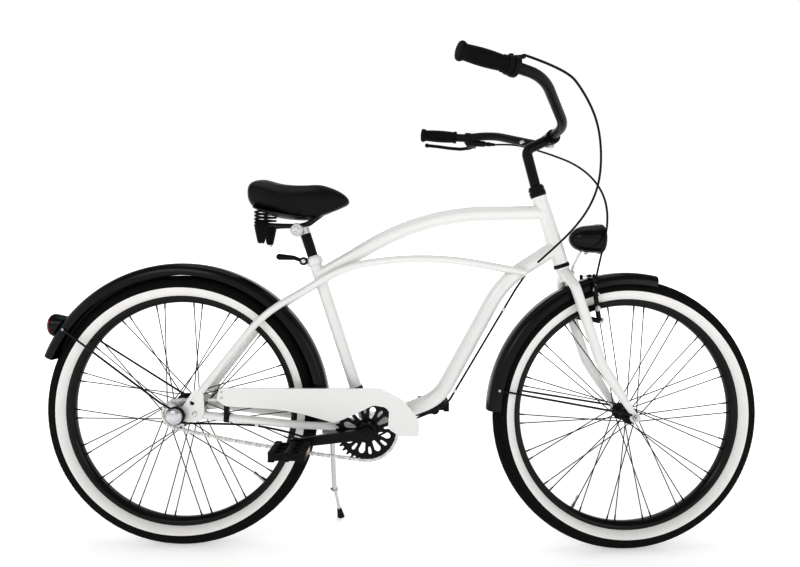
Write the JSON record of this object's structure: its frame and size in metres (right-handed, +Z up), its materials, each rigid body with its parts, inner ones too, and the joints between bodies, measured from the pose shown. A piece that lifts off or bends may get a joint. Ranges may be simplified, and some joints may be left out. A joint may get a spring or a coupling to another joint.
{
  "type": "cruiser bicycle",
  "caption": "Step-less cruiser bicycle with curved twin-bar frame, swept handlebar, sprung saddle, full fenders, chain guard and white-wall tyres, leaning on its side stand.",
  "frame": {"origin": "bottom centre of the bounding box of the bicycle as parked on level ground", "axes": "+X forward along the wheelbase, +Y to the rider's left, +Z up; the bicycle leans to +Y on its side stand"},
  "size_m": [1.7656, 0.6696, 1.1393],
  "materials": {
    "gloss_white": "gloss",
    "gloss_black": "gloss",
    "satin_black": "satin",
    "black_plastic": "matte",
    "black_rubber": "matte",
    "tyre_black": "matte",
    "white_rubber": "matte",
    "chrome": "polished",
    "aluminium": "satin",
    "steel": "brushed",
    "black_vinyl": "satin",
    "red_lens": "gloss",
    "clear_lens": "clear",
    "light_chain": "satin",
    "cable_black": "satin"
  },
  "bodies": {
    "frame": {"head_tube": "gloss_white", "headset_cups": "satin_black", "bottom_bracket_shell": "gloss_white", "seat_tube": "gloss_white", "top_tube": "gloss_white", "down_tube": "gloss_white", "side_bars": "gloss_white", "chain_stays": "gloss_white", "dropouts": "gloss_white", "stay_bridges": "gloss_white", "seat_post": "satin_black", "seat_quick_release": "satin_black", "saddle_clamp": "aluminium", "saddle": "black_vinyl", "saddle_rails": "satin_black", "saddle_springs": "chrome", "spring_boots": "black_rubber", "rear_fender": "gloss_black", "rear_fender_stays": "gloss_black", "rear_lamp": "gloss_black", "rear_lamp_lens": "red_lens", "rear_axle": "steel", "gear_click_box": "black_plastic", "chain_guard": "gloss_white", "chain_guard_clamps": "satin_black", "chain": "light_chain", "kickstand_plate": "aluminium", "shift_cable": "cable_black"},
    "rear_wheel": {"rear_tyre": "tyre_black", "rear_white_walls": "white_rubber", "rear_rim": "satin_black", "rear_hub_and_spokes": "satin_black", "rear_sprocket": "steel"},
    "front_wheel": {"front_tyre": "tyre_black", "front_white_walls": "white_rubber", "front_rim": "satin_black", "front_hub_and_spokes": "satin_black"},
    "crankset": {"crank_arms": "satin_black", "chainring": "satin_black"},
    "pedal_right": {"pedal_right": "black_plastic"},
    "pedal_left": {"pedal_left": "black_plastic"},
    "kickstand": {"kickstand_leg": "aluminium", "kickstand_foot": "black_rubber"},
    "steering": {"fork_crown": "gloss_white", "fork_blades": "gloss_white", "front_axle": "steel", "stem": "satin_black", "handlebar": "satin_black", "grips": "black_rubber", "twist_shifter": "black_rubber", "brake_lever": "satin_black", "front_fender": "gloss_black", "front_fender_stays": "gloss_black", "headlamp": "gloss_black", "headlamp_lens": "clear_lens", "lamp_bracket": "steel", "front_brake": "satin_black", "shift_cable_loop": "cable_black", "brake_cable": "cable_black"}
  },
  "joints": [
    {"name": "steering_turn", "type": "hinge", "parent": "frame", "child": "steering", "pos_m": [0.38568, -0.0119, 0.70167], "axis": [-0.3256, 0.0594, 0.9437], "range_deg": [-64.4, 55.6], "deforming": ["shift_cable_loop"]},
    {"name": "front_wheel_spin", "type": "hinge", "parent": "steering", "child": "front_wheel", "pos_m": [0.55064, -0.03241, 0.33219], "axis": [-0.0725, 0.9935, -0.0875], "continuous": true},
    {"name": "rear_wheel_spin", "type": "hinge", "parent": "frame", "child": "rear_wheel", "pos_m": [-0.54526, -0.03513, 0.3324], "axis": [0, 0.998, -0.0628], "continuous": true},
    {"name": "crank_spin", "type": "hinge", "parent": "frame", "child": "crankset", "pos_m": [-0.08726, -0.03733, 0.29746], "axis": [0, 0.998, -0.0628], "continuous": true},
    {"name": "pedal_right_spin", "type": "hinge", "parent": "crankset", "child": "pedal_right", "pos_m": [-0.25561, -0.18053, 0.28277], "axis": [0, 0.998, -0.0628], "continuous": true},
    {"name": "pedal_left_spin", "type": "hinge", "parent": "crankset", "child": "pedal_left", "pos_m": [0.08108, 0.10588, 0.31216], "axis": [0, 0.998, -0.0628], "continuous": true},
    {"name": "kickstand_fold", "type": "hinge", "parent": "frame", "child": "kickstand", "pos_m": [-0.18126, -0.00615, 0.26745], "axis": [0, 0.9999, -0.0105], "range_deg": [0, 90]}
  ]
}
